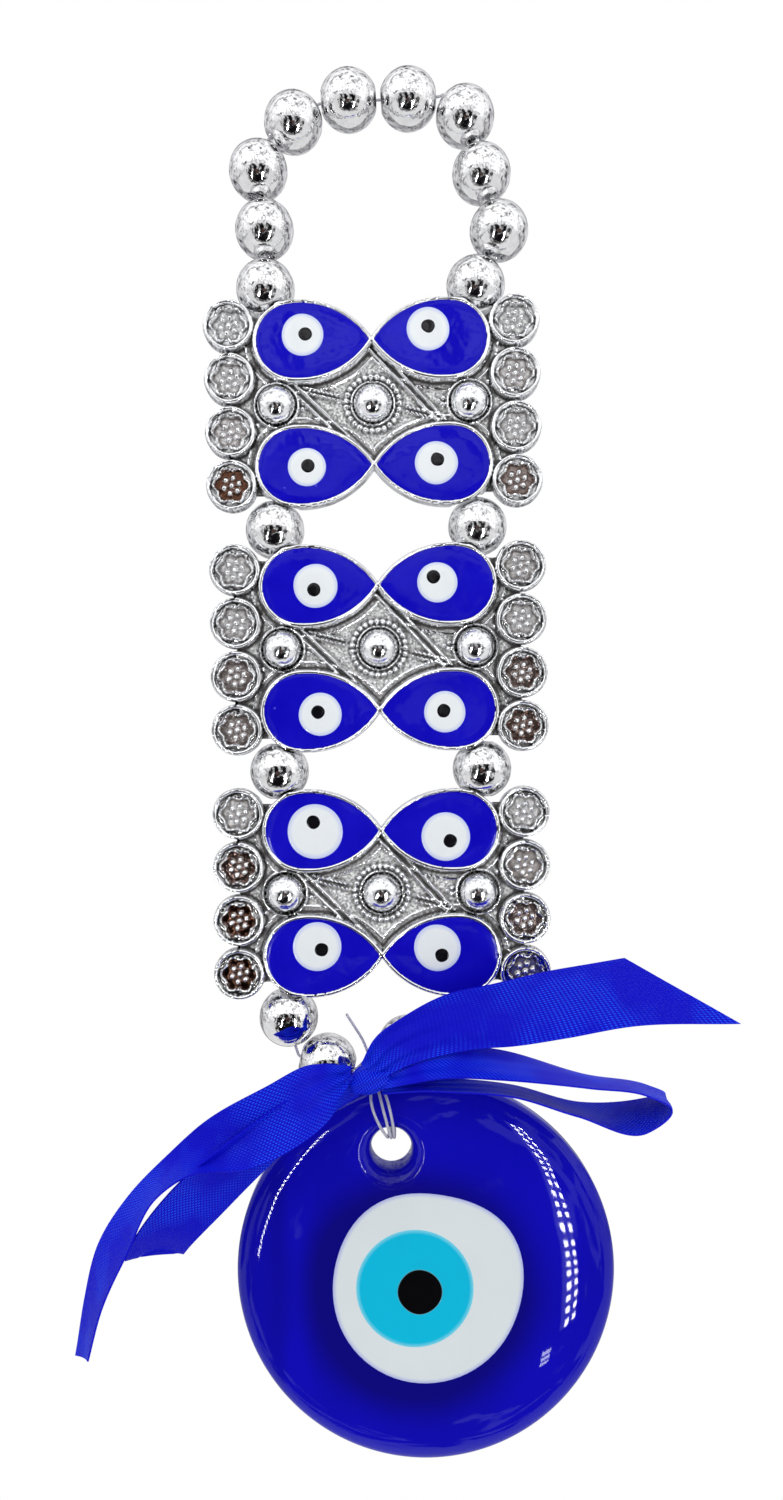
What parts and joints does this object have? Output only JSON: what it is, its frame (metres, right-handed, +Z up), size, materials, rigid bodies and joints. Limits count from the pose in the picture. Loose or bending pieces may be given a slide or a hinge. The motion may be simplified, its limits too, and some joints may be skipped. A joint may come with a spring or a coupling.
{
  "type": "evil eye ornament",
  "caption": "Hanging charm with a loop of plated beads, cast plaques with enamel eyes, a satin ribbon bow and a flat glass eye disc.",
  "frame": {"origin": "where a hook bears, under the two top beads of the hanging loop", "axes": "+Z up along the hanging, -Y towards the front, where the enamel eyes and the glass eye face"},
  "size_m": [0.1196, 0.0224, 0.2581],
  "materials": {
    "plated_beads": "polished, bright silver plating",
    "cast_metal": "bright plated casting, a little worn",
    "blue_enamel": "glossy dark blue enamel",
    "white_enamel": "glossy white enamel",
    "black_enamel": "glossy black enamel",
    "clear_string": "clear drawn filament",
    "blue_glass": "deep blue glass, fire polished",
    "white_glass": "opaque white glass",
    "light_blue_glass": "opaque light blue glass",
    "black_glass": "opaque black glass",
    "ribbon": "satin weave, royal blue"
  },
  "bodies": {
    "loop": {"loop_string": "clear_string"},
    "plaque_1": {"plaque_1_casting": "cast_metal", "plaque_1_blue_enamel": "blue_enamel", "plaque_1_white_enamel": "white_enamel", "plaque_1_pupils": "black_enamel", "plaque_1_strings": "clear_string"},
    "plaque_2": {"plaque_2_casting": "cast_metal", "plaque_2_blue_enamel": "blue_enamel", "plaque_2_white_enamel": "white_enamel", "plaque_2_pupils": "black_enamel", "plaque_2_strings": "clear_string"},
    "plaque_3": {"plaque_3_casting": "cast_metal", "plaque_3_blue_enamel": "blue_enamel", "plaque_3_white_enamel": "white_enamel", "plaque_3_pupils": "black_enamel", "plaque_3_strings": "clear_string"},
    "link_1": {"link_1_strings": "clear_string"},
    "link_2": {"link_2_strings": "clear_string"},
    "v_link": {"v_strings": "clear_string", "ribbon_knot": "ribbon", "ribbon_left_loop": "ribbon", "ribbon_right_loop": "ribbon", "ribbon_left_tail": "ribbon", "ribbon_right_tail": "ribbon"},
    "knot": {"nylon_knot": "clear_string", "nylon_loose_end": "clear_string"},
    "threads": {"thread_wraps": "clear_string"},
    "glass": {"glass_disc": "blue_glass", "white_glass": "white_glass", "light_blue_glass": "light_blue_glass", "pupil_glass": "black_glass"},
    "loop_bead_01": {"loop_bead_01": "plated_beads"},
    "loop_bead_02": {"loop_bead_02": "plated_beads"},
    "loop_bead_03": {"loop_bead_03": "plated_beads"},
    "loop_bead_04": {"loop_bead_04": "plated_beads"},
    "loop_bead_05": {"loop_bead_05": "plated_beads"},
    "loop_bead_06": {"loop_bead_06": "plated_beads"},
    "loop_bead_07": {"loop_bead_07": "plated_beads"},
    "loop_bead_08": {"loop_bead_08": "plated_beads"},
    "loop_bead_09": {"loop_bead_09": "plated_beads"},
    "loop_bead_10": {"loop_bead_10": "plated_beads"},
    "link_1_bead_left": {"link_1_bead_left": "plated_beads"},
    "link_1_bead_right": {"link_1_bead_right": "plated_beads"},
    "link_2_bead_left": {"link_2_bead_left": "plated_beads"},
    "link_2_bead_right": {"link_2_bead_right": "plated_beads"},
    "v_bead_left_upper": {"v_bead_left_upper": "plated_beads"},
    "v_bead_left_lower": {"v_bead_left_lower": "plated_beads"},
    "v_bead_right_upper": {"v_bead_right_upper": "plated_beads"},
    "v_bead_right_lower": {"v_bead_right_lower": "plated_beads"}
  },
  "joints": [
    {"name": "plaque_1_fold", "type": "hinge", "parent": "loop", "child": "plaque_1", "pos_m": [-0.00134, 0, -0.0348], "axis": [0.9998, 0, 0.0209], "range_deg": [-3, 22]},
    {"name": "link_1_fold", "type": "hinge", "parent": "plaque_1", "child": "link_1", "pos_m": [-0.00066, 0, -0.0676], "axis": [0.9998, 0, 0.0209], "range_deg": [-3, 22]},
    {"name": "plaque_2_fold", "type": "hinge", "parent": "link_1", "child": "plaque_2", "pos_m": [-0.00016, 0, -0.0798], "axis": [0.9999, 0, 0.0157], "range_deg": [-3, 22]},
    {"name": "link_2_fold", "type": "hinge", "parent": "plaque_2", "child": "link_2", "pos_m": [0.00036, 0, -0.1126], "axis": [0.9999, 0, 0.0157], "range_deg": [-3, 22]},
    {"name": "plaque_3_fold", "type": "hinge", "parent": "link_2", "child": "plaque_3", "pos_m": [0.00051, 0, -0.1248], "axis": [1, 0, 0.0087], "range_deg": [-3, 22]},
    {"name": "v_fold", "type": "hinge", "parent": "plaque_3", "child": "v_link", "pos_m": [0.00079, 0, -0.1576], "axis": [1, 0, 0.0087], "range_deg": [-3, 22]},
    {"name": "knot_twist", "type": "hinge", "parent": "v_link", "child": "knot", "pos_m": [-0.0012, 0, -0.173], "axis": [0, 0, 1], "range_deg": [-6, 6]},
    {"name": "thread_swing", "type": "hinge", "parent": "knot", "child": "threads", "pos_m": [-0.0012, 0, -0.173], "axis": [1, 0, 0], "range_deg": [-6, 10]},
    {"name": "glass_swing", "type": "hinge", "parent": "threads", "child": "glass", "pos_m": [0.0024, 0, -0.1858], "axis": [0, 1, 0], "range_deg": [-9, 12]},
    {"name": "loop_bead_01_spin", "type": "hinge", "parent": "loop", "child": "loop_bead_01", "pos_m": [-0.02104, 0, -0.02916], "axis": [0.0129, 0, 0.9999], "continuous": true},
    {"name": "loop_bead_02_spin", "type": "hinge", "parent": "loop", "child": "loop_bead_02", "pos_m": [-0.02123, 0, -0.01806], "axis": [-0.2076, 0, 0.9782], "continuous": true},
    {"name": "loop_bead_03_spin", "type": "hinge", "parent": "loop", "child": "loop_bead_03", "pos_m": [-0.02239, 0, -0.00702], "axis": [0.1738, 0, 0.9848], "continuous": true},
    {"name": "loop_bead_04_spin", "type": "hinge", "parent": "loop", "child": "loop_bead_04", "pos_m": [-0.01587, 0, 0.00196], "axis": [0.8153, 0, 0.579], "continuous": true},
    {"name": "loop_bead_05_spin", "type": "hinge", "parent": "loop", "child": "loop_bead_05", "pos_m": [-0.00558, 0, 0.00612], "axis": [0.9979, 0, 0.0647], "continuous": true},
    {"name": "loop_bead_06_spin", "type": "hinge", "parent": "loop", "child": "loop_bead_06", "pos_m": [0.00552, 0, 0.00631], "axis": [0.997, 0, 0.0776], "continuous": true},
    {"name": "loop_bead_07_spin", "type": "hinge", "parent": "loop", "child": "loop_bead_07", "pos_m": [0.01614, 0, 0.00307], "axis": [0.5963, 0, -0.8028], "continuous": true},
    {"name": "loop_bead_08_spin", "type": "hinge", "parent": "loop", "child": "loop_bead_08", "pos_m": [0.0192, 0, -0.0076], "axis": [0.268, 0, -0.9634], "continuous": true},
    {"name": "loop_bead_09_spin", "type": "hinge", "parent": "loop", "child": "loop_bead_09", "pos_m": [0.02244, 0, -0.01822], "axis": [-0.025, 0, -0.9997], "continuous": true},
    {"name": "loop_bead_10_spin", "type": "hinge", "parent": "loop", "child": "loop_bead_10", "pos_m": [0.0181, 0, -0.02844], "axis": [-0.4186, 0, -0.9082], "continuous": true},
    {"name": "link_1_bead_left_spin", "type": "hinge", "parent": "link_1", "child": "link_1_bead_left", "pos_m": [-0.01925, 0, -0.07404], "axis": [0.041, 0, -0.9992], "continuous": true},
    {"name": "link_1_bead_right_spin", "type": "hinge", "parent": "link_1", "child": "link_1_bead_right", "pos_m": [0.01844, 0, -0.07335], "axis": [0.0407, 0, -0.9992], "continuous": true},
    {"name": "link_2_bead_left_spin", "type": "hinge", "parent": "link_2", "child": "link_2_bead_left", "pos_m": [-0.01842, 0, -0.11893], "axis": [0.0122, 0, -0.9999], "continuous": true},
    {"name": "link_2_bead_right_spin", "type": "hinge", "parent": "link_2", "child": "link_2_bead_right", "pos_m": [0.01928, 0, -0.11847], "axis": [0.0122, 0, -0.9999], "continuous": true},
    {"name": "v_bead_left_upper_spin", "type": "hinge", "parent": "v_link", "child": "v_bead_left_upper", "pos_m": [-0.0167, 0, -0.1647], "axis": [0.2193, 0, -0.9757], "continuous": true},
    {"name": "v_bead_left_lower_spin", "type": "hinge", "parent": "v_link", "child": "v_bead_left_lower", "pos_m": [-0.0095, 0, -0.1733], "axis": [0.9738, 0, -0.2274], "continuous": true},
    {"name": "v_bead_right_upper_spin", "type": "hinge", "parent": "v_link", "child": "v_bead_right_upper", "pos_m": [0.0159, 0, -0.1661], "axis": [-0.6082, 0, -0.7938], "continuous": true},
    {"name": "v_bead_right_lower_spin", "type": "hinge", "parent": "v_link", "child": "v_bead_right_lower", "pos_m": [0.0054, 0, -0.1699], "axis": [-0.9885, 0, -0.1512], "continuous": true}
  ]
}
